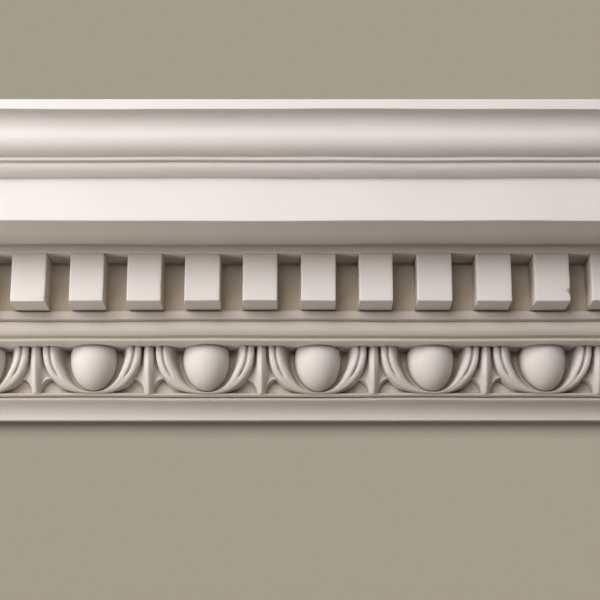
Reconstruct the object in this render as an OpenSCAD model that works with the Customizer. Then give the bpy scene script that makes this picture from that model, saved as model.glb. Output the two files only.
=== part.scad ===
// A length of enriched plaster cornice, cast in one piece.
// The wall is the plane Y = 0 and the room is on the -Y side. X runs along the
// cornice, Z is up, and the origin is on the wall line under the lowest edge,
// at the middle of the length. Sizes called "out" are measured from the wall.

/* [Run] */
// Length between the two square-cut ends
run_length = 552; // [276:2:1104]
// Distance from the middle of one dentil to the middle of the next
dentil_pitch = 46; // [40:1:60]
// Number of dentils to each egg
dentils_per_egg = 2; // [2:1:3]

/* [Foot] */
// Depth of the thin bottom edge
foot_step = 5; // [4:0.5:20]
// Radius of the cavetto above the bottom edge
cavetto_r = 13; // [8:0.5:20]
// Step forward from the cavetto to the bead
bead_step = 3.5; // [0.5:0.5:6]
// Height of the bead
bead_h = 3; // [2:0.5:6]

/* [Egg and dart] */
// Height of the carved band
carving_h = 38.6; // [32:0.1:50]
// Step forward from the bead to the ground of the carving
ground_step = 4.5; // [2:0.5:12]
// Height of the plain strip along the foot of the carving
strip_h = 1.5; // [1:0.5:3]
// How far the foot of the carved face stands out from the ground
carving_foot = 2; // [1:0.5:4]
// How far the carved face leans out from its foot to its top
carving_lean = 13.5; // [10:0.5:20]
// Radius of the convex curve of the carved face
carving_curve_r = 55; // [40:1:90]
// Width of an egg at its widest
egg_w = 37.5; // [30:0.5:42]
// Height of the widest part of an egg below the top of the band
egg_shoulder = 7.5; // [4:0.5:12]
// Height of the tip of an egg above the foot of the band
egg_tip_h = 3; // [2:0.5:6]
// Width of the channel between two hoops at their tops, where the dart stands
dart_channel = 12; // [10:0.5:24]
// Width of a hoop across both of its ridges, at its top
hoop_band = 11.5; // [8:0.5:14]
// Distance of the groove from the outer edge of a hoop, at its top
groove_inset = 5; // [3:0.5:6]
// Width of the groove along a hoop
groove_w = 1.5; // [1:0.25:3]
// Depth of the groove along a hoop
groove_depth = 2; // [1:0.25:4]
// Width of a dart's shaft at its top
dart_w = 8; // [5:0.5:10]
// Height of the wing points above the foot of the band
wing_h = 15; // [10:0.5:20]
// How far the wings lie behind the carved face
wing_setback = 5; // [2:0.5:8]

/* [Bed mould] */
// Step forward from the carved face to the small fillet
small_fillet_step = 14.5; // [8:0.1:20]
// Height of the small fillet
small_fillet_h = 2.8; // [1.5:0.1:4]
// Radius of the half-round over the small fillet
bed_round_r = 6.9; // [4:0.1:9]
// Step forward from the small fillet to the band under the dentils
band_step = 7.3; // [5:0.1:12]
// Height of the band under the dentils
band_h = 6.3; // [4:0.1:10]

/* [Dentils] */
// Width of a dentil
dentil_w = 27.4; // [20:0.1:34]
// Height of a dentil
dentil_h = 39.3; // [30:0.1:50]
// How far a dentil stands out from the wall of its recess
dentil_depth = 28.1; // [18:0.1:36]
// Gap between the band and the underside of a dentil
dentil_lift = 1.5; // [1:0.1:10]
// How far the wall of the recess lies behind the face of the band
recess_set = 1.8; // [1:0.1:18]
// Step forward from the dentils to the fillet that caps them
cap_step = 2; // [1:0.5:5]
// Height of the fillet that caps the dentils
cap_h = 7; // [4:0.5:12]

/* [Corona] */
// Overhang of the corona past the fillet under it
corona_overhang = 57.5; // [30:0.5:80]
// Height of the corona's face
corona_h = 33.9; // [24:0.1:50]

/* [Crown] */
// Height of the ovolo over the corona
crown_ovolo_h = 9.7; // [6:0.1:16]
// How far the ovolo bulges out past the corona
crown_ovolo_bulge = 12.1; // [6:0.1:16]
// Overhang of the narrow fillet past the ovolo
crown_fillet_step = 3.8; // [2:0.1:10]
// Height of the narrow fillet
crown_fillet_h = 2.8; // [2:0.1:6]
// Radius of each of the two curves of the cyma
cyma_r = 13.7; // [9:0.1:20]
// Height of the top fillet
top_fillet_h = 8; // [5:0.5:14]

/* [Back] */
// Height of the flat strip that beds on the wall
wall_strip = 80; // [60:1:90]
// Depth of the flat strip that beds on the ceiling
ceiling_strip = 72; // [50:1:86]

/* [Hidden] */
$fn = 96;

plaster_colour = "#e9e3dd";

// Heights of the joints between the courses, from the bottom edge up
z_bead = cavetto_r;
z_carving = z_bead + bead_h;
z_small_fillet = z_carving + carving_h;
z_bed_round = z_small_fillet + small_fillet_h;
z_band = z_bed_round + 2 * bed_round_r;
z_recess = z_band + band_h;
z_dentil = z_recess + dentil_lift;
z_cap = z_dentil + dentil_h;
z_corona = z_cap + cap_h;
z_crown_ovolo = z_corona + corona_h;
z_crown_fillet = z_crown_ovolo + crown_ovolo_h;
z_cyma = z_crown_fillet + crown_fillet_h;
z_top_fillet = z_cyma + 2 * cyma_r;
total_h = z_top_fillet + top_fillet_h;

// Distances of the faces from the wall
bead_out = foot_step + cavetto_r + bead_step;
ground_out = bead_out + ground_step;
carving_out = ground_out + carving_foot + carving_lean;
small_fillet_out = carving_out + small_fillet_step;
band_out = small_fillet_out + band_step;
recess_out = band_out - recess_set;
dentil_out = recess_out + dentil_depth;
cap_out = dentil_out + cap_step;
corona_out = cap_out + corona_overhang;
crown_fillet_out = corona_out + crown_ovolo_bulge + crown_fillet_step;
total_out = crown_fillet_out + 2 * cyma_r;

// How deep the carving is rooted in the ground and in the course above it
root = 2;
// Points along one side of a hoop or an egg
curve_steps = 14;
// Exponents of the curves of a hoop's outer edge, its inner edge and an egg
hoop_power = 2.4;
hoop_inner_power = 1.6;
egg_power = 2;
// Radius of an egg where it runs into the course above, as a share of its widest
egg_crown_share = 0.94;
// Height of the inner edge of a hoop above the foot of the band
hoop_inner_rise = 2.5;
// Width of the shaft of a dart at its tip
tip_w = 5;
z_dart_tip = z_carving + strip_h / 2;

egg_pitch = dentil_pitch * dentils_per_egg;
// Half-widths of a hoop at its top: its outer edge, its groove and its inner edge
hoop_r = (egg_pitch - dart_channel) / 2;
groove_r = hoop_r - groove_inset;
hoop_inner_r = hoop_r - hoop_band;
// How far the outer edge of a hoop drops from the top of the band
hoop_drop = carving_h - strip_h / 2;
// Half-width of a dart where its wing points meet the hoops
wing_r = egg_pitch / 2 + root - bow_width(hoop_r, hoop_drop, hoop_power, z_small_fillet - z_dart_tip - wing_h);
dentil_count = ceil(run_length / dentil_pitch);
egg_count = ceil(run_length / egg_pitch);
first_dentil_x = (dentil_pitch - run_length) / 2;

// Middle of the circle of radius r that passes through p and then q and bulges to their right
function arc_middle(p, q, r) =
    let (chord = q - p, half = norm(chord) / 2, away = sqrt(r * r - half * half))
    (p + q) / 2 + away * [-chord.y, chord.x] / (2 * half);

// The lower half of a rounded outline: half-width a, drop b, measured down from z = 0
function bow(a, b, power) = [
    for (i = [0 : 2 * curve_steps])
        let (turn = 90 * i / curve_steps, c = cos(turn), s = sin(turn))
        [a * sign(c) * pow(abs(c), 2 / power), -b * pow(max(s, 0), 2 / power)]
];

// Half-width of such an outline at a depth below z = 0
function bow_width(a, b, power, depth) = a * pow(1 - pow(depth / b, power), 1 / power);

// Draws its child, an outline with x out from the wall and y up, along the whole length
module along_run(length) {
    rotate([90, 0, -90])
        linear_extrude(length, center = true)
            children();
}

// Draws its child, an outline in front view, through the depth of the carving
module through_carving() {
    rotate([90, 0, 0])
        translate([0, 0, ground_out - root])
            linear_extrude(carving_out - ground_out + 2 * root)
                children();
}

// The quarter-round of height h whose lower end is at the corner [out, z] and which bulges out from there
module quarter_round(out, z, h, bulge) {
    translate([0, z]) square([out, h]);
    translate([out, z]) intersection() {
        square([bulge, h]);
        translate([0, h]) scale([bulge / h, 1]) circle(h);
    }
}

// The hollow quarter of radius r, from its lower end at [out, z] to [out + r, z + r]
module quarter_hollow(out, z, r) {
    translate([0, z]) difference() {
        square([out + r, r]);
        translate([out + r, 0]) circle(r);
    }
}

// The half-round of radius r whose lower end is at the corner [out, z]
module half_round(out, z, r) {
    translate([0, z]) square([out, 2 * r]);
    translate([out, z + r]) circle(r);
}

module course(out, z, h) {
    translate([0, z]) square([out, h]);
}

// The plain courses from the bottom edge to the top fillet
module outline() {
    quarter_hollow(foot_step, 0, cavetto_r);
    course(bead_out, z_bead, bead_h);
    course(ground_out, z_carving, carving_h);
    course(small_fillet_out, z_small_fillet, small_fillet_h);
    half_round(small_fillet_out, z_bed_round, bed_round_r);
    course(band_out, z_band, band_h);
    course(recess_out, z_recess, z_cap - z_recess);
    course(cap_out, z_cap, cap_h);
    course(corona_out, z_corona, corona_h);
    quarter_round(corona_out, z_crown_ovolo, crown_ovolo_h, crown_ovolo_bulge);
    course(crown_fillet_out, z_crown_fillet, crown_fillet_h);
    quarter_round(crown_fillet_out, z_cyma, cyma_r, cyma_r);
    quarter_hollow(crown_fillet_out + cyma_r, z_cyma + cyma_r, cyma_r);
    course(total_out, z_top_fillet, top_fillet_h);
}

// The space behind the casting, struck off flat from the wall strip to the ceiling strip
module hollow_back() {
    over = 1;
    polygon([
        [-over, wall_strip],
        [0, wall_strip],
        [total_out - ceiling_strip, total_h],
        [total_out - ceiling_strip, total_h + over],
        [-over, total_h + over]
    ]);
}

module plain_run() {
    along_run(run_length)
        difference() {
            outline();
            hollow_back();
        }
}

module dentils() {
    for (i = [0 : dentil_count - 1])
        translate([first_dentil_x + i * dentil_pitch - dentil_w / 2, -dentil_out, z_dentil])
            cube([dentil_w, dentil_depth + root, dentil_h + root]);
}

// The convex face of the carving, or a face that lies some way behind it
module carved_face(setback) {
    foot = [ground_out + carving_foot, z_carving + strip_h];
    head = [carving_out, z_small_fillet];
    along_run(run_length)
        intersection() {
            translate(arc_middle(foot, head, carving_curve_r)) circle(carving_curve_r - setback);
            translate([ground_out - root, z_carving]) square([2 * (carving_out - ground_out), carving_h + root]);
        }
}

// Places its child at the middle of each egg, past both ends so that no hoop is left out
module at_eggs() {
    for (i = [-1 : egg_count])
        translate([first_dentil_x + i * egg_pitch, 0]) children();
}

// An outline that hangs from the top of the band, carried up into the course above
module hung_outline(a, b, power) {
    translate([0, z_small_fillet]) {
        polygon(bow(a, b, power));
        translate([-a, -root / 2]) square([2 * a, 1.5 * root]);
    }
}

// A hoop in front view: wide at the top, and passing under the egg
module hoop_outline() {
    difference() {
        hung_outline(hoop_r, hoop_drop, hoop_power);
        translate([0, root])
            hung_outline(hoop_inner_r, carving_h + root - hoop_inner_rise, hoop_inner_power);
    }
}

// The line of the groove that parts a hoop into two ridges
module groove_outline() {
    drop = carving_h - hoop_inner_rise;
    difference() {
        hung_outline(groove_r + groove_w / 2, drop + groove_w / 2, hoop_power);
        translate([0, root])
            hung_outline(groove_r - groove_w / 2, drop + root - groove_w, hoop_power);
    }
}

module hoops() {
    difference() {
        intersection() {
            through_carving() at_eggs() hoop_outline();
            carved_face(0);
        }
        difference() {
            through_carving() at_eggs() groove_outline();
            carved_face(groove_depth);
        }
    }
}

// An egg turned about an upright line in the ground, with its top in the course above
module egg() {
    r = egg_w / 2;
    shoulder_z = z_small_fillet - egg_shoulder;
    drop = shoulder_z - z_carving - egg_tip_h;
    side = bow(r, drop, egg_power);
    crown = egg_shoulder + root;
    crown_r = r * egg_crown_share;
    translate([0, -ground_out, shoulder_z])
        rotate_extrude()
            polygon(concat(
                [for (i = [curve_steps : -1 : 0]) side[i]],
                [[crown_r, crown], [0, crown]]
            ));
}

module eggs() {
    for (i = [0 : egg_count - 1])
        translate([first_dentil_x + i * egg_pitch, 0, 0]) egg();
}

// The upright shaft of a dart in front view
module shaft_outline() {
    top = z_small_fillet + root;
    polygon([[-dart_w / 2, top], [-tip_w / 2, z_dart_tip], [tip_w / 2, z_dart_tip], [dart_w / 2, top]]);
}

// The two wings of a dart, each with its lower edge hollowed from the tip to the wing point
module wing_outline() {
    top = z_small_fillet + root;
    reach = wing_r - tip_w / 2;
    hollow_edge = [
        for (i = [0 : curve_steps])
            let (turn = 90 * i / curve_steps)
            [tip_w / 2 + reach * (1 - cos(turn)), z_dart_tip + wing_h * sin(turn)]
    ];
    for (side = [0, 1])
        mirror([side, 0])
            polygon(concat([[-root, z_dart_tip]], hollow_edge, [[wing_r, top], [-root, top]]));
}

module darts() {
    half_way = egg_pitch / 2;
    intersection() {
        through_carving() at_eggs() translate([half_way, 0]) shaft_outline();
        carved_face(0);
    }
    intersection() {
        through_carving() at_eggs() translate([half_way, 0]) wing_outline();
        carved_face(wing_setback);
    }
}

module carving() {
    reach = total_out + root;
    intersection() {
        union() {
            dentils();
            hoops();
            eggs();
            darts();
        }
        translate([-run_length / 2, -reach, 0]) cube([run_length, reach, total_h]);
    }
}

module cornice() {
    color(plaster_colour) union() {
        plain_run();
        carving();
    }
}

cornice();
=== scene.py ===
import math

import bmesh
import bpy
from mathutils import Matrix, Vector


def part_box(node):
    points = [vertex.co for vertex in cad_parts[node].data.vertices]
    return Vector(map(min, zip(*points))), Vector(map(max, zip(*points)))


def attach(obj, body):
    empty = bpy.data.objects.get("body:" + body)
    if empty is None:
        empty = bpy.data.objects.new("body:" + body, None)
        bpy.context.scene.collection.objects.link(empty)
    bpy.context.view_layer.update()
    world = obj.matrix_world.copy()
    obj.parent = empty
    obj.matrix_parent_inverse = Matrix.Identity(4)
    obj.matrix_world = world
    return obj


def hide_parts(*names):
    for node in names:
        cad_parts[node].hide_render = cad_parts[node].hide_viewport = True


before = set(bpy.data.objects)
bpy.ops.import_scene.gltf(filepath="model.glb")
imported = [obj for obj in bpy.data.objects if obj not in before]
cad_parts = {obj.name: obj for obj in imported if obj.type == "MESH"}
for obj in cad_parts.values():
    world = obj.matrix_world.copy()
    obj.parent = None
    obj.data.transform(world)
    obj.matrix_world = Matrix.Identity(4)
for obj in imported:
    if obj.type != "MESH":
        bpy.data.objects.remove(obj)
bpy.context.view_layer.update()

node_low, node_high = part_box("cornice")

MM = 0.001

# ---------------------------------------------------------------------------
# Sizes of the casting, in millimetres. "Out" is the distance from the wall.
# ---------------------------------------------------------------------------
RUN = (node_high.x - node_low.x) / MM
DEPTH = -node_low.y / MM
HEIGHT = node_high.z / MM

PITCH = 46.0                    # one dentil to the next
EGG_PITCH = 2 * PITCH           # an egg under every second dentil
FIRST_DENTIL = (PITCH - RUN) / 2

FOOT_STEP, CAVETTO_R = 5.0, 13.0
BEAD_STEP, BEAD_H = 3.5, 3.0
CARVING_H, GROUND_STEP = 38.6, 4.5
STRIP_H, CARVING_FOOT, CARVING_LEAN, CARVING_CURVE_R = 1.5, 2.0, 13.5, 55.0
SMALL_FILLET_STEP, SMALL_FILLET_H = 14.5, 2.8
BED_ROUND_R, BAND_STEP, BAND_H = 6.9, 7.3, 6.3
RECESS_SET, DENTIL_LIFT = 1.8, 1.5
DENTIL_W, DENTIL_H, DENTIL_DEPTH = 27.4, 39.3, 28.1
CAP_STEP, CAP_H = 2.0, 7.0
CORONA_OVERHANG, CORONA_H = 57.5, 33.9
CROWN_OVOLO_H, CROWN_OVOLO_BULGE, CROWN_FILLET_STEP, CROWN_FILLET_H = 9.7, 12.1, 3.8, 2.8
CYMA_R = 13.7
WALL_STRIP, CEILING_STRIP = 80.0, 72.0

LIP = 1.0         # flat left beside an arris, where fine and plain courses meet
LEDGE_LIP = 0.5   # the same above the ledge under the dentils
OVOLO_EASE = 1.0  # how much the run of the tool has eased the foot of the crown's ovolo

Z_CARVING = CAVETTO_R + BEAD_H
Z_STRIP = Z_CARVING + STRIP_H
Z_SOFFIT = Z_CARVING + CARVING_H
Z_BED_ROUND = Z_SOFFIT + SMALL_FILLET_H
Z_BAND = Z_BED_ROUND + 2 * BED_ROUND_R
Z_RECESS = Z_BAND + BAND_H
Z_DENTIL = Z_RECESS + DENTIL_LIFT
Z_CAP = Z_DENTIL + DENTIL_H
Z_CORONA = Z_CAP + CAP_H
Z_CROWN_OVOLO = Z_CORONA + CORONA_H
Z_CROWN_FILLET = Z_CROWN_OVOLO + CROWN_OVOLO_H
Z_CYMA = Z_CROWN_FILLET + CROWN_FILLET_H
Z_TOP_FILLET = Z_CYMA + 2 * CYMA_R

BEAD_OUT = FOOT_STEP + CAVETTO_R + BEAD_STEP
GROUND_OUT = BEAD_OUT + GROUND_STEP
FACE_FOOT_OUT = GROUND_OUT + CARVING_FOOT
FACE_HEAD_OUT = FACE_FOOT_OUT + CARVING_LEAN
SMALL_FILLET_OUT = FACE_HEAD_OUT + SMALL_FILLET_STEP
BAND_OUT = SMALL_FILLET_OUT + BAND_STEP
RECESS_OUT = BAND_OUT - RECESS_SET
DENTIL_OUT = RECESS_OUT + DENTIL_DEPTH
CAP_OUT = DENTIL_OUT + CAP_STEP
CORONA_OUT = CAP_OUT + CORONA_OVERHANG
CROWN_FILLET_OUT = CORONA_OUT + CROWN_OVOLO_BULGE + CROWN_FILLET_STEP

# ---------------------------------------------------------------------------
# Small helpers
# ---------------------------------------------------------------------------


def smooth(t):
    """0 below 0, 1 above 1, and an easy curve between."""
    t = min(max(t, 0.0), 1.0)
    return t * t * (3 - 2 * t)


def mix(a, b, t):
    return a + (b - a) * t


def shares(n):
    """n + 1 even steps from 0 to 1."""
    return [i / n for i in range(n + 1)]


class Skin:
    """The corners and faces of the casting. A corner is (x, out, z, shade), in millimetres, and shade is its
    share of the painted shade, a darker tone laid into hollows and under overhangs where shade falls, from 0
    to 1."""

    def __init__(self):
        self.corners = []
        self.faces = []

    def row(self, corners):
        start = len(self.corners)
        self.corners += corners
        return list(range(start, len(self.corners)))

    def face(self, *ids):
        self.faces.append(ids)

    def sheet(self, rows):
        """Joins rows of the same number of corners with four-sided faces."""
        for low, high in zip(rows, rows[1:]):
            for i in range(len(low) - 1):
                self.face(low[i], low[i + 1], high[i + 1], high[i])

    def zip_rows(self, a, b):
        """Joins two rows that run the same way along x but have different stations."""
        x = lambda i: self.corners[i][0]
        i = j = 0
        while i < len(a) - 1 or j < len(b) - 1:
            if j == len(b) - 1 or (i < len(a) - 1 and x(a[i + 1]) <= x(b[j + 1])):
                self.face(a[i], a[i + 1], b[j])
                i += 1
            else:
                self.face(a[i], b[j + 1], b[j])
                j += 1


# ---------------------------------------------------------------------------
# The plain courses: an outline of (out, z) carried along the length
# ---------------------------------------------------------------------------


def arc(out, z, r, start, end, steps=10, widened=1.0):
    """Part of a circle about (out, z), angles in degrees, or of an oval widened away from the wall."""
    turn = [math.radians(mix(start, end, t)) for t in shares(steps)]
    return [(out + widened * r * math.cos(a), z + r * math.sin(a)) for a in turn]


def softened(before, corner, after, r, steps=3):
    """The corner of an outline, rounded as plaster leaves the mould."""
    here = Vector(corner)
    to_before = (Vector(before) - here).normalized()
    to_after = (Vector(after) - here).normalized()
    half = to_before.angle(to_after) / 2
    reach = r / math.tan(half)
    reach = min(reach, 0.45 * (Vector(before) - here).length, 0.45 * (Vector(after) - here).length)
    a, b = here + to_before * reach, here + to_after * reach
    return [tuple(a * (1 - t) ** 2 + here * 2 * t * (1 - t) + b * t ** 2) for t in shares(steps)]


def outline(stretches):
    """Strings corners and arcs together. A stretch is a list of points, or one (out, z, radius)."""
    points = []
    for i, stretch in enumerate(stretches):
        if isinstance(stretch, list):
            points += stretch
            continue
        before = points[-1] if points else None
        following = stretches[i + 1] if i + 1 < len(stretches) else None
        if isinstance(following, list):
            following = following[0]
        if stretch[2] and before and following:
            points += softened(before, stretch[:2], following[:2], stretch[2])
        else:
            points.append(stretch[:2])
    return points


def filled_in(points, longest=9.0, margin=0.8):
    """Adds points along the long flat stretches, with one close to each end so that flats stay flat."""
    out = [points[0]]
    for a, b in zip(points, points[1:]):
        length = math.dist(a, b)
        if length > 3 * margin:
            marks = [margin / length]
            inner = max(1, math.ceil((length - 2 * margin) / longest))
            marks += [mix(marks[0], 1 - marks[0], t) for t in shares(inner)[1:]]
            out += [(mix(a[0], b[0], t), mix(a[1], b[1], t)) for t in marks]
        out.append(b)
    return out


def stations(step=PITCH / 4):
    """Places along the length for the plain courses, a little past both ends."""
    reach = RUN / 2 + step
    n = round(2 * reach / step)
    return [mix(-reach, reach, t) for t in shares(n)]


# Share of painted shade on each course, from 0 to 1: a darker tone laid where shade falls, most under the
# dentils and some in the angle over them. These were set by comparing the brightness of the courses, so they
# are a matter of looks and not a measure of real dust.
CORONA_SHADE, CORONA_SHADE_REACH = 0.38, 35   # at the inner angle of the corona's underside, fading outwards
CAP_SHADE = 0.12
FILLET_SHADE = 0.62                          # on the small fillet and on the strip under the carving
CAVETTO_SHADE, BEAD_SHADE, BED_SHADE = 0.32, 0.38, 0.56


def course_painted_shade(out, z):
    """Share of painted shade on a plain course: most under the dentils, some in the angle over them."""
    if out > CAP_OUT - 2 * LIP and Z_CAP - LIP < z < Z_CORONA + LIP:
        if z > Z_CORONA - LIP:
            return mix(CORONA_SHADE, 0.0, smooth((out - CAP_OUT) / CORONA_SHADE_REACH))
        return CAP_SHADE
    on_fillet = out > SMALL_FILLET_OUT - LIP / 2 and z < Z_BED_ROUND + LIP
    on_strip = Z_CARVING + LIP / 2 < z < Z_STRIP + LIP / 2
    if on_fillet or on_strip:
        shade_here = FILLET_SHADE
    elif z <= CAVETTO_R:
        shade_here = CAVETTO_SHADE * (1 - smooth((z - 4) / 8))
    elif z < Z_CARVING:
        shade_here = BEAD_SHADE
    else:
        shade_here = BED_SHADE * smooth((z - Z_BED_ROUND) / 3)
    return shade_here * smooth((Z_DENTIL - z) / 6) if 0 < out < DENTIL_OUT else 0.0


def run_courses(skin, points):
    rows = [skin.row([(x, out, z, course_painted_shade(out, z)) for x in stations()]) for out, z in points]
    skin.sheet(rows)
    return rows[0], rows[-1]


def crown_and_back():
    """From the underside of the dentils' cap, over the crown, down the back and up to the carving's strip."""
    return filled_in(outline([
        (CAP_OUT - LIP, Z_CAP, 0),
        (CAP_OUT, Z_CAP, 0.6),
        (CAP_OUT, Z_CORONA, 0.7),
        (CORONA_OUT, Z_CORONA, 0.8),
        (CORONA_OUT, Z_CROWN_OVOLO + OVOLO_EASE, 0.3),
        arc(CORONA_OUT, Z_CROWN_FILLET, CROWN_OVOLO_H - OVOLO_EASE, -87, 0, 10,
            CROWN_OVOLO_BULGE / (CROWN_OVOLO_H - OVOLO_EASE)),
        (CORONA_OUT + CROWN_OVOLO_BULGE + 0.3, Z_CROWN_FILLET, 0),
        (CROWN_FILLET_OUT, Z_CROWN_FILLET, 0.5),
        (CROWN_FILLET_OUT, Z_CYMA, 0.4),
        arc(CROWN_FILLET_OUT, Z_CYMA + CYMA_R, CYMA_R, -87, 0),
        arc(CROWN_FILLET_OUT + 2 * CYMA_R, Z_CYMA + CYMA_R, CYMA_R, 180, 92)[1:],
        (DEPTH, Z_TOP_FILLET, 0.6),
        (DEPTH, HEIGHT, 0.8),
        (DEPTH - CEILING_STRIP, HEIGHT, 0),
        (0, WALL_STRIP, 0),
        (0, 0, 0),
        (FOOT_STEP, 0, 0.5),
        arc(FOOT_STEP + CAVETTO_R, 0, CAVETTO_R, 177, 91),
        (BEAD_OUT - BEAD_H / 2, CAVETTO_R, 0),
        arc(BEAD_OUT - BEAD_H / 2, Z_CARVING - BEAD_H / 2 + 0.1, BEAD_H / 2 + 0.15, -80, 84, 8),
        arc(GROUND_OUT - 2.0, Z_CARVING + 1.25, 1.0, -90, 0, 5, 2.0),
    ]))


def bed_mould():
    """From the foot of the dentils' recess down to the soffit over the eggs."""
    return filled_in(outline([
        (RECESS_OUT, Z_RECESS + LEDGE_LIP, 0),
        (RECESS_OUT, Z_RECESS, 0.3),
        (BAND_OUT, Z_RECESS, 0.6),
        (BAND_OUT, Z_BAND + 0.3, 0.5),
        arc(SMALL_FILLET_OUT, Z_BED_ROUND + BED_ROUND_R, BED_ROUND_R, 56, -84, 18),
        (SMALL_FILLET_OUT, Z_BED_ROUND, 0.4),
        (SMALL_FILLET_OUT, Z_SOFFIT, 0.9),
        (SMALL_FILLET_OUT - LIP, Z_SOFFIT, 0),
    ]))


# ---------------------------------------------------------------------------
# The dentils, each laid a little out of true
# ---------------------------------------------------------------------------
# Sideways stray of each dentil from its even place, as the blocks were set by eye
DENTIL_STRAY = (0.2, -0.8, -0.6, -0.8, -0.6, -0.7, -0.2, -0.4, 0.2, 1.5, 1.6, 0.6)
DENTIL_ARRIS = 0.9       # radius of the upright edges
DENTIL_DRAFT = 0.5       # how much wider each side is at the wall
DENTIL_ROOT = 0.8        # radius of the hollow where a side meets the wall
DENTIL_ROW = 1.7         # height of one row of faces
DENTIL_FOOT_R = 0.7      # radius of the lower edges
BLOCK_STRAY = 0.35       # how far a block's width and front may be out
BLOCK_ASKEW = 0.012      # how much a block may be turned, as rise over run
BLOCK_DROP = 0.25        # how far its foot may be out of level with the others
DENTIL_TOP_SHADE, DENTIL_SHADE_FADE = 0.22, 12   # painted shade under the cap, where the corona's shadow falls, fading downwards
GAP_TOP_SHADE = 0.55      # painted shade in the back of the gaps under the cap, the full share further down


def uneven(i, turn):
    """A fixed stray between -1 and 1 for the i-th dentil."""
    return math.sin(i * 2.4 + turn) * math.cos(i * 1.1 - 2 * turn)


def dentil_plan(i):
    """Corners round one dentil, seen from above, left to right: (x, out, side, sway).
    side points to the middle of the dentil, and sway is 1 where the block itself is and 0 on the wall."""
    middle = FIRST_DENTIL + i * PITCH
    stray = DENTIL_STRAY[i] if 0 <= i < len(DENTIL_STRAY) else 0.0
    half = DENTIL_W / 2 + BLOCK_STRAY * uneven(i, 0.7)
    front = DENTIL_OUT + BLOCK_STRAY * uneven(i, 2.1)
    askew = BLOCK_ASKEW * uneven(i, 4.0)
    arris, root = DENTIL_ARRIS, DENTIL_ROOT
    corners = []
    for side in (-1, 1):
        edge = middle + stray + side * half
        run = [(mix(middle + side * PITCH / 2, edge + side * (DENTIL_DRAFT + root), t), RECESS_OUT, 0.0)
               for t in shares(3)]
        for t in shares(3)[1:]:
            a = t * math.pi / 2
            run.append((edge + side * (DENTIL_DRAFT + root * (1 - math.sin(a))),
                        RECESS_OUT + root * (1 - math.cos(a)), 0.0 if t < 0.5 else 0.4))
        reach = front - arris - RECESS_OUT - root
        run += [(edge + side * DENTIL_DRAFT * (1 - t), RECESS_OUT + root + reach * t, 1.0)
                for t in shares(7)[1:]]
        for t in shares(4)[1:]:
            a = t * math.pi / 2
            run.append((edge - side * arris * (1 - math.cos(a)), front - arris * (1 - math.sin(a)), 1.0))
        run = [(x, out + askew * (x - middle) * sway, -side, sway) for x, out, sway in run]
        corners.append(run)
    left, right = corners
    a, b = left[-1], right[-1]
    across = [(mix(a[0], b[0], t), mix(a[1], b[1], t), 0, 1.0) for t in shares(9)[1:-1]]
    return left + across + right[::-1]


def dentil(skin, i):
    """One dentil with half of the gap on either side, and the cap's underside over it."""
    plan = dentil_plan(i)
    foot, drop = Z_DENTIL, BLOCK_DROP * uneven(i, 5.3)
    round_r = DENTIL_FOOT_R
    levels = round((DENTIL_H - round_r) / DENTIL_ROW)
    heights = [(mix(Z_CAP, foot + round_r, t), 0.0) for t in shares(levels)]
    for t in shares(3)[1:]:
        a = t * math.pi / 2
        heights.append((foot + round_r * (1 - math.sin(a)), round_r * (1 - math.cos(a))))

    # Share of painted shade at a spot: heavy in the back of the gaps, and a little just under the cap.
    def painted_shade(out, z):
        deep = 1 - (out - RECESS_OUT) / DENTIL_DEPTH
        below_cap = Z_CAP - z
        in_gap = smooth(deep * 1.1) * mix(GAP_TOP_SHADE, 1.0, smooth((below_cap - 4) / 24))
        under_cap = DENTIL_TOP_SHADE * smooth(1 - below_cap / DENTIL_SHADE_FADE)
        return max(in_gap, under_cap)

    rows = []
    for z, inset in heights:
        lower = drop * (Z_CAP - z) / DENTIL_H
        rows.append(skin.row([
            (x + side * inset * sway, out - inset * sway * smooth((out - RECESS_OUT) / 6), z + lower * sway,
             painted_shade(out, z))
            for x, out, side, sway in plan
        ]))
    skin.sheet(rows)

    # The block's foot and the recess wall below carry painted shade, fading downwards.
    under = []
    for id, (x, out, side, sway) in zip(rows[-1], plan):
        on_block = sway > 0.9
        corner = (skin.corners[id][0], RECESS_OUT, foot + drop, 0.3)
        under += skin.row([corner]) if on_block else [id]
    skin.sheet([rows[-1], under])

    wall = [under]
    for t in (0.35, 0.75):
        wall.append(skin.row([
            (skin.corners[id][0], RECESS_OUT, mix(skin.corners[id][2], Z_RECESS + LEDGE_LIP, t),
             mix(0.4, 0.1, t)) for id in under
        ]))
    skin.sheet(wall)

    ceiling = skin.row([
        (skin.corners[id][0], CAP_OUT - LIP - 0.5, Z_CAP, 0.0) for id in rows[0]
    ])
    skin.sheet([rows[0], ceiling])
    return wall[-1], ceiling


# ---------------------------------------------------------------------------
# Egg and dart
# ---------------------------------------------------------------------------
EGG_R = 19.0                     # a quarter of a millimetre fuller than in the CAD solid
EGG_SHOULDER = Z_SOFFIT - 7.5    # height of the widest part
EGG_TIP = Z_STRIP + 2.0
EGG_OUT = GROUND_OUT + 1.5       # the upright line about which an egg is round
BOWL_SINK = 5.5                  # how far the bowl round an egg goes behind the ground, at its top
BOWL_FLOOR = 0.42                # share of the bowl's width that is its floor
EGG_CROWN = 20.3                 # the egg's upper half-length, of which the soffit hides most
HOOP_R, HOOP_DROP, HOOP_POWER = 40.0, CARVING_H - STRIP_H - 0.45, 2.5
HOOP_FOOT_R, HOOP_FOOT_DROP = 40.8, CARVING_H - STRIP_H
HOOP_BAND = 11.5                 # width of a hoop across its two ridges
HOOP_SHARE = 0.65                # and its largest share of the space round the egg
DART_HALF = EGG_PITCH / 2
SHAFT_HALF = 3.5                 # half-width of a dart's shaft
WING_ANGLE = 36                  # where along the hoop the wing points meet it, in degrees
TIP_FOOT = Z_STRIP + 0.4
WING_ARRIS, WING_ARRIS_ROWS = 1.8, 3   # how proud the arris along a wing is, and over how many rows it rises

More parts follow.
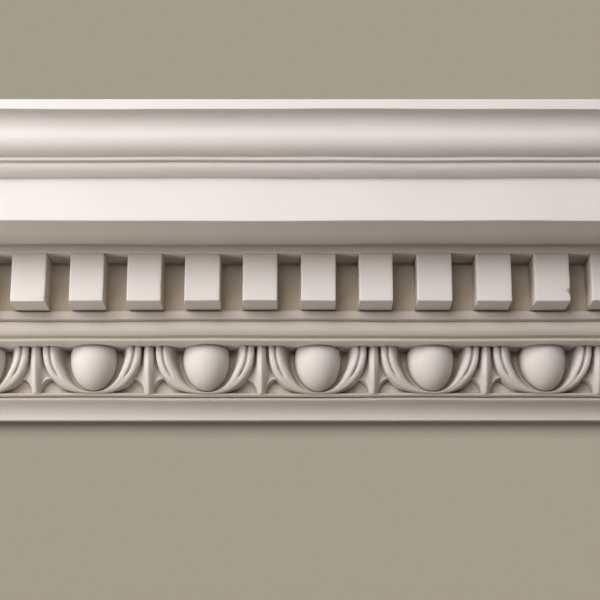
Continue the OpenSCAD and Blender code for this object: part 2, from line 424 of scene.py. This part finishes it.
# How far the left hoop, the egg, the right hoop and the dart stray sideways, egg by egg
SETTING_MARKS = (-32.0, 0.0, 32.0, EGG_PITCH / 2)
SETTING_STRAY = (
    (-0.6, 0.2, -1.2, -1.2), (-0.6, -0.4, -1.4, -0.8), (-0.4, 0.8, -0.8, -0.4), (-0.2, 0.3, -1.0, -0.6),
    (-0.2, 1.7, -0.6, -0.6), (0.0, 2.2, -0.8, -0.4),
)

CARVING_SHADE, CARVING_FADE = 0.47, 34   # painted shade at the foot of the carving, and the height it fades over

TURNS_TO_WING, TURNS_BELOW = 22, 26
EGG_STEPS, BOWL_STEPS = 16, 12
WEB_STEPS, SHAFT_STEPS = 12, 6

# Across a hoop from its inner edge to its outer edge: share of the width, depth below the carved face
HOOP_SECTION = (
    (1.00, 3.6), (0.93, 2.2), (0.86, 1.2), (0.78, 0.5), (0.70, 0.1), (0.63, 0.0), (0.57, 0.25), (0.53, 0.8),
    (0.495, 1.5), (0.455, 2.3), (0.415, 2.3), (0.385, 1.4), (0.355, 0.7), (0.31, 0.2), (0.24, 0.0),
    (0.16, 0.1), (0.09, 0.4), (0.04, 0.8), (0.0, 1.4),
)
GROOVE = (0.33, 0.55)            # the part of that width which is the groove
GROOVE_ENDS, GROOVE_FADE = 31, 14   # degrees along the hoop where it begins to fill, and over how far
GROOVE_LEFT = 0.06               # share of its depth that is left below there
FULL_RELIEF = 9                  # height over the ground from which a hoop has its full section

RECESS_SINK = 7.0                # how far the recess under a wing goes behind the ground
SHAFT_ROUND = 3.4                # how far a dart's shaft falls away from its middle to its side
WING_HOLLOW = (5.2, 8.6)         # depth of the hollow beside the shaft, low down and high up
BOWL_SHADE_LOW, BOWL_SHADE_HIGH, BOWL_SHADE_TOP = 0.5, 0.9, 0.4   # shares of painted shade at three heights of a bowl


def setting(x):
    """How far the hand-set model of the carving strays sideways at x."""
    marks = [(FIRST_DENTIL + i * EGG_PITCH + mark, stray)
             for i, strays in enumerate(SETTING_STRAY) for mark, stray in zip(SETTING_MARKS, strays)]
    for (x0, stray0), (x1, stray1) in zip(marks, marks[1:]):
        if x0 <= x <= x1:
            return mix(stray0, stray1, smooth((x - x0) / (x1 - x0)))
    return 0.0


def carved_face(z):
    """How far out the convex face of the carving is at height z."""
    foot, head = Vector((FACE_FOOT_OUT, Z_STRIP)), Vector((FACE_HEAD_OUT, Z_SOFFIT))
    half = (head - foot) / 2
    away = math.sqrt(CARVING_CURVE_R ** 2 - half.length_squared)
    middle = (foot + head) / 2 + Vector((-half.y, half.x)).normalized() * away
    return middle.x + math.sqrt(max(CARVING_CURVE_R ** 2 - (z - middle.y) ** 2, 0.0))


def bow(r, drop, turn):
    """A point (x, z) on the rounded line of a hoop that hangs from the soffit."""
    c, s = math.cos(turn), math.sin(turn)
    return max(r * max(c, 0.0) ** (2 / HOOP_POWER), 0.0), Z_SOFFIT - drop * s ** (2 / HOOP_POWER)


def egg_radius(z):
    if z > EGG_SHOULDER:
        share = (z - EGG_SHOULDER) / EGG_CROWN
    else:
        share = (EGG_SHOULDER - z) / (EGG_SHOULDER - EGG_TIP)
    return EGG_R * math.sqrt(max(1 - min(share, 1.0) ** 2.1, 0.0))


def recess_floor(z):
    """The ground below the wings of a dart, which rises to the strip at the foot."""
    return GROUND_OUT - RECESS_SINK * smooth((z - Z_STRIP - 0.3) / 3)


def web(v, z):
    """The surface of a dart at v to the side of its middle."""
    flank = SHAFT_ROUND * min(v / SHAFT_HALF, 1.0) ** 1.5
    beyond = max(v - SHAFT_HALF, 0.0)
    high = smooth((z - 26) / 18)
    hollow = mix(*WING_HOLLOW, high) * (1 - math.exp(-beyond / 1.5)) + 0.15 * beyond
    rise = carved_face(z) - GROUND_OUT
    return max(carved_face(z) - 0.15 - min(flank + hollow, 0.9 * rise + 1.2), GROUND_OUT - 1.0)


# Painted shade in the hollows beside a dart's shaft, more of it higher up.
def dart_painted_shade(v, z):
    return 0.4 * smooth((v - SHAFT_HALF + 0.6) / 3) * smooth((z - 20) / 14)


def half_egg(skin, middle, side):
    """The carving from the middle of an egg to the middle of the dart beside it.
    Returns the corners along the soffit and along the strip at the foot."""

    # Every corner of the carving carries a share of painted shade, at least the amount that fades up from the
    # strip at the foot.
    def place(x, out, z, painted_shade=0.0):
        along = middle + side * x
        from_foot = CARVING_SHADE * (1 - smooth((z - Z_STRIP) / CARVING_FADE))
        return along + setting(along), out, z, max(painted_shade, from_foot)

    wing = math.radians(WING_ANGLE)
    turns = [wing * t for t in shares(TURNS_TO_WING)]
    turns += [mix(wing, math.pi / 2, t) for t in shares(TURNS_BELOW)[1:]]
    last = TURNS_TO_WING

    rows, feet_top, feet_low = [], [], []
    for j, turn in enumerate(turns):
        z = Z_SOFFIT - (Z_SOFFIT - EGG_TIP) * math.sin(turn)
        r = egg_radius(z) if j < len(turns) - 1 else 0.0
        quarter = [t * math.pi / 2 for t in shares(EGG_STEPS)]
        # Painted shade darkens an egg towards its sides.
        row = [place(r * math.sin(a), EGG_OUT + r * math.cos(a), z, 0.3 * smooth((a - 1.25) / 0.3))
               for a in quarter]
        bowl_out = GROUND_OUT - BOWL_SINK * smooth((z - EGG_TIP) / 20)
        # The side of the bowl under the egg carries painted shade.
        row += [place(r, mix(EGG_OUT, bowl_out, t), z, mix(0.5, 0.9, t)) for t in shares(4)[1:]]
        hoop_x, hoop_z = bow(HOOP_R, HOOP_DROP, turn)
        gap = math.hypot(hoop_x - r, hoop_z - z)
        band = min(HOOP_BAND, HOOP_SHARE * gap)
        spot = lambda w: (mix(hoop_x, r, w / max(gap, 1e-6)), mix(hoop_z, z, w / max(gap, 1e-6)))
        open_groove = 1 - smooth((math.degrees(turn) - GROOVE_ENDS) / GROOVE_FADE)

        def ridge(w_share):
            x, zz = spot(w_share * band)
            return x, zz, carved_face(zz)

        x_in, z_in, face_in = ridge(1.0)
        relief = min(1.0, (face_in - GROUND_OUT) / FULL_RELIEF)
        rim = face_in - HOOP_SECTION[0][1] * relief
        for t in shares(BOWL_STEPS)[1:-1]:
            x, zz = mix(r, x_in, t), mix(z, z_in, t)
            flank = max(t - BOWL_FLOOR, 0.0) / (1 - BOWL_FLOOR)
            out = mix(bowl_out, rim, flank ** 1.5)
            # Painted shade on the bowl's floor: heavier low down, lighter near the soffit, fading up the
            # flank.
            shade_share = mix(BOWL_SHADE_LOW, BOWL_SHADE_HIGH, smooth((zz - 20) / 8))
            shade_share *= mix(1.0, BOWL_SHADE_TOP, smooth((zz - 38) / 10))
            row.append(place(x, out, zz, (1 - flank ** 1.6) * shade_share))
        # Painted shade in the hollows of a hoop's section.
        for share, depth in HOOP_SECTION:
            x, zz, face = ridge(share)
            if GROOVE[0] < share < GROOVE[1]:
                depth *= mix(GROOVE_LEFT, 1.0, open_groove)
            sunk = depth * min(1.0, (face - GROUND_OUT) / FULL_RELIEF)
            row.append(place(x, face - sunk, zz, 0.2 * smooth(depth / 3)))
        foot_x, foot_z = bow(HOOP_FOOT_R, HOOP_FOOT_DROP, turn)
        v = DART_HALF - foot_x
        top_out, low_out = web(v, foot_z), recess_floor(foot_z)
        edge_out = row[-1][1]
        end_out = top_out if j <= last else low_out
        row.append(place(mix(hoop_x, foot_x, 0.45), mix(edge_out, end_out, 0.4),
                         mix(hoop_z, foot_z, 0.45), 0.2))
        rows.append(skin.row(row))
        feet_top.append((foot_x, foot_z, top_out))
        feet_low.append((foot_x, foot_z, low_out))
    skin.sheet(rows)

    # The dart: rows from the hoop's foot to the middle of the shaft, down to the wing's hollow edge
    fall = Z_SOFFIT - feet_top[last][1]
    dart_rows = []
    for j in range(last + 1):
        foot_x, z_left, _ = feet_top[j]
        reach = DART_HALF - foot_x
        z_right = Z_SOFFIT - (Z_SOFFIT - TIP_FOOT) * (Z_SOFFIT - z_left) / fall
        aside = [mix(reach, SHAFT_HALF, t ** 0.8) for t in shares(WEB_STEPS)]
        aside += [SHAFT_HALF * (1 - t) for t in shares(SHAFT_STEPS)[1:]]
        row = []
        arris = WING_ARRIS * smooth(1 - (last - j) / WING_ARRIS_ROWS)
        for v in aside:
            t = min(max((v - SHAFT_HALF) / max(reach - SHAFT_HALF, 1e-6), 0.0), 1.0)
            z = z_right + (z_left - z_right) * math.sqrt(1 - (1 - t) ** 2)
            lift = arris * smooth((v - SHAFT_HALF) / 2)
            row.append(place(DART_HALF - v, web(v, z) + lift, z, dart_painted_shade(v, z)))
        dart_rows.append(skin.row(row))
    skin.sheet(dart_rows)
    for j in range(last):
        skin.face(rows[j][-1], rows[j + 1][-1], dart_rows[j + 1][0], dart_rows[j][0])

    # The drop under the wing, and the floor of the recess below it
    edge = dart_rows[-1]
    under = []
    for i, id in enumerate(edge):
        x, z = DART_HALF - aside[i], skin.corners[id][2]
        if i < WEB_STEPS:
            z = mix(z, Z_STRIP, smooth(i / WEB_STEPS) * 0.3 if i else 0.0)
            under.append((x, z, recess_floor(z)))
        else:
            under.append((x, Z_STRIP, GROUND_OUT))
    # Painted shade on the drop under a wing and on the recess floor, fading towards the strip.
    under_ids = skin.row([place(x, out, z, 0.5 * smooth((z - Z_STRIP) / 4)) for x, z, out in under])
    skin.sheet([edge, under_ids])
    skin.face(rows[last][-1], edge[0], under_ids[0])

    floor_rows = []
    below = feet_low[last:]
    start_x = under[WEB_STEPS][0]
    for k, (foot_x, foot_z, _) in enumerate(below):
        along = k / (len(below) - 1)
        strip_x = start_x * foot_x / below[0][0]
        row = []
        for i in range(WEB_STEPS + 1):
            t = i / WEB_STEPS
            x, z = mix(foot_x, strip_x, t), mix(foot_z, Z_STRIP, t)
            base_x, base_z = mix(below[0][0], start_x, t), mix(below[0][1], Z_STRIP, t)
            x += (1 - along) * (under[i][0] - base_x)
            z += (1 - along) * (under[i][1] - base_z)
            row.append(place(x, recess_floor(z), z, 0.5 * smooth((z - Z_STRIP) / 4)))
        floor_rows.append(skin.row(row))
    skin.sheet(floor_rows)
    for k in range(len(below) - 1):
        skin.face(rows[last + k][-1], rows[last + k + 1][-1], floor_rows[k + 1][0], floor_rows[k][0])

    soffit_line = rows[0] + dart_rows[0]
    strip_line = [row[-1] for row in floor_rows][::-1] + under_ids[WEB_STEPS + 1:]
    return soffit_line, strip_line


def matching_row(skin, ids, out, z):
    """A row beside ids with the same stations along the length."""
    return skin.row([(skin.corners[id][0], out, z, course_painted_shade(out, z)) for id in ids])


def sorted_row(skin, rows):
    """One row from the ends of many short ones, in order along the length."""
    seen = {}
    for id in (i for row in rows for i in row):
        seen[round(skin.corners[id][0], 3)] = skin.corners[id]
    return skin.row([seen[x] for x in sorted(seen)])


# ---------------------------------------------------------------------------
# Putting the casting together
# ---------------------------------------------------------------------------


def back_clearance(out, z):
    """Distance from the flat faces that bed on the wall and the ceiling and from the struck-off back."""
    run, rise = DEPTH - CEILING_STRIP, HEIGHT - WALL_STRIP
    slope = (out * rise - (z - WALL_STRIP) * run) / math.hypot(run, rise)
    return min(out, HEIGHT - z, max(slope, 0.0))


def hand_run(x, out, z):
    """How far the plaster strays from its true line, outwards and upwards, as it does in hand-run work."""
    held = smooth(back_clearance(out, z) / 6)
    outwards = 0.20 * math.sin(x / 46 + z / 11 + 2.0) + 0.11 * math.sin(x / 17 + out / 9)
    upwards = 0.24 * math.sin(x / 52 - z / 17) + 0.12 * math.sin(x / 21 + z / 7 + out / 23)
    near_front = smooth((DEPTH - out) / 4)
    near_foot = smooth(z / 5)
    return held * near_front * outwards, held * near_foot * upwards


# Knocks and chips: where (x, out, z), how wide and how deep in millimetres, and which side arris
# of a dentil they are on: 1 right, -1 left, 0 neither
CHIPS = (
    (FIRST_DENTIL + 10 * PITCH + 15.2, DENTIL_OUT, 87.0, 3.0, 1.5, 1),
    (FIRST_DENTIL + 4 * PITCH + 13.0, DENTIL_OUT, 117.0, 1.8, 1.0, 1),
    (FIRST_DENTIL + 9 * PITCH - 0.8, 33.0, 26.0, 1.8, 1.2, 0),
    (FIRST_DENTIL + 2 * PITCH + 10.5, DENTIL_OUT, Z_DENTIL + 0.4, 1.5, 0.9, 0),
    (FIRST_DENTIL + 1 * PITCH + 12.6, DENTIL_OUT, Z_DENTIL + 2.0, 1.7, 0.6, 1),
    (FIRST_DENTIL + 5 * PITCH - 12.9, DENTIL_OUT, Z_DENTIL + 1.0, 1.6, 0.7, -1),
    (FIRST_DENTIL + 8 * PITCH + 6.0, DENTIL_OUT, Z_DENTIL + 0.2, 1.8, 0.6, 0),
    (FIRST_DENTIL + 7 * PITCH - 13.2, DENTIL_OUT, Z_DENTIL + 21.0, 2.0, 0.6, -1),
    (FIRST_DENTIL + 3 * PITCH + 13.4, DENTIL_OUT, Z_DENTIL + 12.0, 2.0, 0.6, 1),
    (-118.0, CORONA_OUT, Z_CORONA + 0.6, 1.6, 0.5, 0),
    (61.0, CROWN_FILLET_OUT, Z_CROWN_FILLET + 0.3, 1.5, 0.5, 0),
)


def chipped(x, out, z):
    """How far a chip bites inwards and sideways at this spot."""
    for cx, c_out, cz, width, depth, side in CHIPS:
        away = math.dist((x, out, z), (cx, c_out, cz))
        if away < width:
            bite = depth * (1 - smooth(away / width))
            return bite, -side * bite
    return 0.0, 0.0


def casting():
    skin = Skin()
    crown_start, strip_end = run_courses(skin, crown_and_back())
    bed_start, bed_end = run_courses(skin, bed_mould())

    recess_feet, cap_edges = [], []
    for i in range(-1, round(RUN / PITCH) + 1):
        foot, ceiling = dentil(skin, i)
        recess_feet.append(foot)
        cap_edges.append(ceiling)
    skin.zip_rows(sorted_row(skin, cap_edges), crown_start)
    skin.zip_rows(sorted_row(skin, recess_feet), bed_start)

    soffits, strips = [], []
    for i in range(-1, round(RUN / EGG_PITCH) + 1):
        for side in (-1, 1):
            soffit, strip = half_egg(skin, FIRST_DENTIL + i * EGG_PITCH, side)
            soffit_front = matching_row(skin, soffit, SMALL_FILLET_OUT - LIP - 0.5, Z_SOFFIT)
            strip_foot = matching_row(skin, strip, GROUND_OUT, Z_CARVING + 1.3)
            skin.sheet([soffit, soffit_front])
            skin.sheet([strip, strip_foot])
            soffits.append(soffit_front)
            strips.append(strip_foot)
    skin.zip_rows(sorted_row(skin, soffits), bed_end)
    skin.zip_rows(sorted_row(skin, strips), strip_end)
    return skin


MERGE_WITHIN, FLAT_WITHIN = 3e-6, 1e-7   # metres: corners merged, and edges taken for nothing
CUT_WITHIN = 1e-5                        # metres: edges that belong to the rim of a cut
SHARP_ANGLE = 38                         # degrees


def square_cut(bm, x, outward):
    """Saws the casting off square and closes the end."""
    bmesh.ops.bisect_plane(
        bm, geom=bm.verts[:] + bm.edges[:] + bm.faces[:], dist=FLAT_WITHIN,
        plane_co=(x, 0, 0), plane_no=(outward, 0, 0), clear_outer=True,
    )
    rim = [e for e in bm.edges if e.is_boundary and all(abs(v.co.x - x) < CUT_WITHIN for v in e.verts)]
    bmesh.ops.triangle_fill(bm, use_beauty=True, edges=rim, normal=(outward, 0, 0))


def make_mesh(name, skin):
    bm = bmesh.new()
    painted_shade = bm.verts.layers.float.new("painted_shade")
    verts = []
    for x, out, z, deep in skin.corners:
        d_out, d_z = hand_run(x, out, z)
        bite, d_x = chipped(x, out, z)
        v = bm.verts.new(((x + d_x) * MM, -(out + d_out - bite) * MM, (z + d_z) * MM))
        v[painted_shade] = deep
        verts.append(v)
    for ids in skin.faces:
        ring = [verts[i] for i in dict.fromkeys(ids)]
        if len(ring) > 2:
            try:
                bm.faces.new(ring)
            except ValueError:
                pass   # the same face is there already, where two stretches meet
    bmesh.ops.remove_doubles(bm, verts=bm.verts[:], dist=MERGE_WITHIN)
    bmesh.ops.dissolve_degenerate(bm, edges=bm.edges[:], dist=FLAT_WITHIN)
    for outward in (-1, 1):
        square_cut(bm, outward * RUN * MM / 2, outward)
    loose = [v for v in bm.verts if not v.link_faces]
    bmesh.ops.delete(bm, geom=loose, context="VERTS")
    bmesh.ops.recalc_face_normals(bm, faces=bm.faces[:])
    mesh = bpy.data.meshes.new(name)
    bm.to_mesh(mesh)
    open_edges = sum(1 for e in bm.edges if len(e.link_faces) != 2)
    bm.free()
    mesh.polygons.foreach_set("use_smooth", [True] * len(mesh.polygons))
    mesh.set_sharp_from_angle(angle=math.radians(SHARP_ANGLE))
    print("casting:", len(mesh.vertices), "corners,", len(mesh.polygons), "faces,", open_edges, "open edges")
    return mesh


# ---------------------------------------------------------------------------
# Finishes
# ---------------------------------------------------------------------------


def colour(hex_value):
    """An sRGB hex colour as the linear value that the shader wants."""
    parts = [int(hex_value[i:i + 2], 16) / 255 for i in (1, 3, 5)]
    linear = [c / 12.92 if c <= 0.04045 else ((c + 0.055) / 1.055) ** 2.4 for c in parts]
    return (*linear, 1.0)


def add(tree, kind, settings=None, **links):
    """Adds a node. settings are its own properties; links are values or sockets by input name."""
    node = tree.nodes.new(kind)
    for key, value in (settings or {}).items():
        setattr(node, key, value)
    for key, value in links.items():
        name = key.replace("_", " ")
        socket = node.inputs[int(key[1:])] if key[0] == "i" and key[1:].isdigit() else node.inputs[name]
        if isinstance(value, bpy.types.NodeSocket):
            tree.links.new(value, socket)
        else:
            socket.default_value = value
    return node


def blank(name):
    material = bpy.data.materials.new(name)
    material.use_nodes = True
    material.node_tree.nodes.clear()
    return material, material.node_tree


CLOUD_SIZE, GRAIN_SIZE = 45 * MM, 1.1 * MM   # patches of slightly different tone, and the grain


def cast_plaster():
    """Dry casting plaster, left bare: matt, warm white, with painted shade laid in by each corner's share and
    painted shade as darker lines in the narrowest grooves."""
    material, tree = blank("cast plaster")
    spot = add(tree, "ShaderNodeTexCoord").outputs["Object"]
    clouds = add(tree, "ShaderNodeTexNoise", Vector=spot, Scale=1 / CLOUD_SIZE, Detail=3.0, Roughness=0.6)
    grain = add(tree, "ShaderNodeTexNoise", Vector=spot, Scale=1 / GRAIN_SIZE, Detail=2.0, Roughness=0.6)
    tone = add(tree, "ShaderNodeMix", {"data_type": "RGBA"}, Factor=clouds.outputs["Fac"])
    tone.inputs["A"].default_value = colour("#dfdad6")
    tone.inputs["B"].default_value = colour("#e5e0dc")
    # Each corner's share of painted shade darkens the plaster towards a warm grey-brown.
    deep = add(tree, "ShaderNodeAttribute", {"attribute_name": "painted_shade"}).outputs["Fac"]
    shade_share = add(tree, "ShaderNodeMath", {"operation": "MULTIPLY"}, i0=deep, i1=0.8)
    shaded_tone = add(tree, "ShaderNodeMix", {"data_type": "RGBA"}, Factor=shade_share.outputs[0])
    tree.links.new(tone.outputs["Result"], shaded_tone.inputs["A"])
    shaded_tone.inputs["B"].default_value = colour("#b1a28a")
    # Painted shade: crevices are darkened by how enclosed they are, as darker lines in the narrowest grooves.
    crevice = add(tree, "ShaderNodeAmbientOcclusion", {"samples": 8, "only_local": True}, Distance=0.004)
    crevice_shade = add(tree, "ShaderNodeMapRange", Value=crevice.outputs["AO"])
    for name, value in (("From Min", 0.78), ("From Max", 0.35), ("To Min", 0.0), ("To Max", 0.38)):
        crevice_shade.inputs[name].default_value = value
    crevice_shaded = add(tree, "ShaderNodeMix", {"data_type": "RGBA"}, Factor=crevice_shade.outputs["Result"])
    tree.links.new(shaded_tone.outputs["Result"], crevice_shaded.inputs["A"])
    crevice_shaded.inputs["B"].default_value = colour("#7c6f65")
    bump = add(tree, "ShaderNodeBump", Height=grain.outputs["Fac"], Strength=0.12, Distance=0.0002)
    shader = add(tree, "ShaderNodeBsdfPrincipled", Roughness=0.8, IOR=1.5, Normal=bump.outputs["Normal"])
    shader.inputs["Specular IOR Level"].default_value = 0.3
    tree.links.new(crevice_shaded.outputs["Result"], shader.inputs["Base Color"])
    out = add(tree, "ShaderNodeOutputMaterial")
    tree.links.new(shader.outputs[0], out.inputs["Surface"])
    return material


def one_sided(tree, shader):
    """Shows the shader on the front of a sheet, and nothing from behind."""
    clear = add(tree, "ShaderNodeBsdfTransparent")
    facing = add(tree, "ShaderNodeNewGeometry").outputs["Backfacing"]
    shown = add(tree, "ShaderNodeMixShader", i0=facing, i1=shader.outputs[0], i2=clear.outputs[0])
    out = add(tree, "ShaderNodeOutputMaterial")
    tree.links.new(shown.outputs[0], out.inputs["Surface"])


def wall_paint():
    """A plain backing wall that glows evenly in one fixed colour and takes no light from the lamps.
    Its soft shade close to the casting is painted shade in place of the casting's shadow, worked out from how
    enclosed a spot is.
    It is open from behind, so that the back of the casting can be seen."""
    material, tree = blank("wall paint")
    near = add(tree, "ShaderNodeAmbientOcclusion", {"samples": 8}, Distance=0.015)
    shade = add(tree, "ShaderNodeMapRange", {"interpolation_type": "SMOOTHSTEP"}, Value=near.outputs["AO"])
    for name, value in (("From Min", 0.79), ("From Max", 0.993), ("To Min", 0.0), ("To Max", 1.0)):
        shade.inputs[name].default_value = value
    tone = add(tree, "ShaderNodeMix", {"data_type": "RGBA"}, Factor=shade.outputs["Result"])
    tone.inputs["A"].default_value = colour("#57514b")
    tone.inputs["B"].default_value = colour("#a49d8d")
    glow = add(tree, "ShaderNodeEmission", Color=tone.outputs["Result"])
    one_sided(tree, glow)
    return material


def floor_paint():
    """A plain pale floor, open from below, so that the underside of the casting can be seen."""
    material, tree = blank("pale floor")
    shader = add(tree, "ShaderNodeBsdfPrincipled", Roughness=0.9)
    shader.inputs["Base Color"].default_value = colour("#d8d4cc")
    one_sided(tree, shader)
    return material


# ---------------------------------------------------------------------------
# Stage, camera and lights
# ---------------------------------------------------------------------------


def flat_sheet(name, corners, material, shines=True):
    mesh = bpy.data.meshes.new(name)
    mesh.from_pydata(corners, [], [(0, 1, 2, 3)])
    mesh.materials.append(material)
    sheet = bpy.data.objects.new(name, mesh)
    bpy.context.scene.collection.objects.link(sheet)
    sheet.visible_diffuse = shines
    return sheet


def softbox(name, place, aim, width, height, watts, tint):
    data = bpy.data.lights.new(name, "AREA")
    data.shape, data.size, data.size_y = "RECTANGLE", width, height
    data.energy = watts
    data.color = colour(tint)[:3]
    lamp = bpy.data.objects.new(name, data)
    lamp.location = place
    lamp.rotation_euler = (Vector(aim) - Vector(place)).to_track_quat("-Z", "Y").to_euler()
    lamp.visible_camera = False
    bpy.context.scene.collection.objects.link(lamp)


piece = bpy.data.objects.new("cornice_casting", make_mesh("cornice_casting", casting()))
piece.data.materials.append(cast_plaster())
bpy.context.scene.collection.objects.link(piece)
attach(piece, "root")
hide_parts("cornice")

WALL_REACH = 3.0        # metres to either side and up
FLOOR_DROP = 1.0        # metres below the foot of the casting
WALL_GAP = 0.3 * MM     # between the back of the casting and the wall
wall_corners = [(-WALL_REACH, WALL_GAP, -FLOOR_DROP), (WALL_REACH, WALL_GAP, -FLOOR_DROP),
                (WALL_REACH, WALL_GAP, WALL_REACH), (-WALL_REACH, WALL_GAP, WALL_REACH)]
wall = flat_sheet("wall", wall_corners, wall_paint())
wall.visible_shadow = False
floor_corners = [(-WALL_REACH, -WALL_REACH, -FLOOR_DROP), (WALL_REACH, -WALL_REACH, -FLOOR_DROP),
                 (WALL_REACH, WALL_REACH, -FLOOR_DROP), (-WALL_REACH, WALL_REACH, -FLOOR_DROP)]
flat_sheet("floor", floor_corners, floor_paint(), shines=False)

CAMERA_LENS = 93.0                          # millimetres
CAMERA_PLACE = (8.1 * MM, -1.269, -0.2586)  # metres
LOOKS_UP = 16                               # degrees above level
camera_data = bpy.data.cameras.new("camera")
camera_data.lens = CAMERA_LENS
camera = bpy.data.objects.new("camera", camera_data)
camera.location = CAMERA_PLACE
camera.rotation_euler = (math.radians(90 + LOOKS_UP), 0, 0)
bpy.context.scene.collection.objects.link(camera)
bpy.context.scene.camera = camera

centre = Vector((0, -DEPTH * MM / 2, HEIGHT * MM / 2))
# name, degrees round to the left, degrees up, distance, width, height, watts, tint
SOFTBOXES = (
    ("key softbox", 40, 21, 1.8, 0.9, 1.2, 24.5, "#fafdff"),
    ("side softbox", 80, 17, 2.0, 1.0, 1.0, 17.0, "#fafdff"),
    ("front fill", 10, 15, 1.9, 0.9, 0.9, 16.0, "#fdf5f2"),
    ("edge light", -88, 4, 2.0, 0.8, 0.8, 6.5, "#fff8f2"),
    ("back softbox", 170, 20, 2.0, 1.0, 1.0, 20.0, "#fffcfa"),
    ("low bounce card", 70, -42, 1.0, 0.5, 0.5, 3.1, "#fdf1ea"),
)
for name, round_left, up, away, width, height, watts, tint in SOFTBOXES:
    left, lift = math.radians(round_left), math.radians(up)
    way = Vector((-math.sin(left) * math.cos(lift), -math.cos(left) * math.cos(lift), math.sin(lift)))
    softbox(name, centre + way * away, centre, width, height, watts, tint)

# The world lights the scene only faintly. The camera sees a plain warm grey in its place.
WORLD_STRENGTH = 0.05
world = bpy.data.worlds.new("studio")
world.use_nodes = True
background = world.node_tree.nodes["Background"]
background.inputs["Color"].default_value = colour("#fff8f0")
background.inputs["Strength"].default_value = WORLD_STRENGTH
seen = add(world.node_tree, "ShaderNodeBackground", Color=colour("#b4afa3"))
direct = add(world.node_tree, "ShaderNodeLightPath").outputs["Is Camera Ray"]
sky = add(world.node_tree, "ShaderNodeMixShader", i0=direct, i1=background.outputs[0], i2=seen.outputs[0])
world.node_tree.links.new(sky.outputs[0], world.node_tree.nodes["World Output"].inputs["Surface"])
bpy.context.scene.world = world
bpy.context.scene.view_settings.view_transform = "Standard"
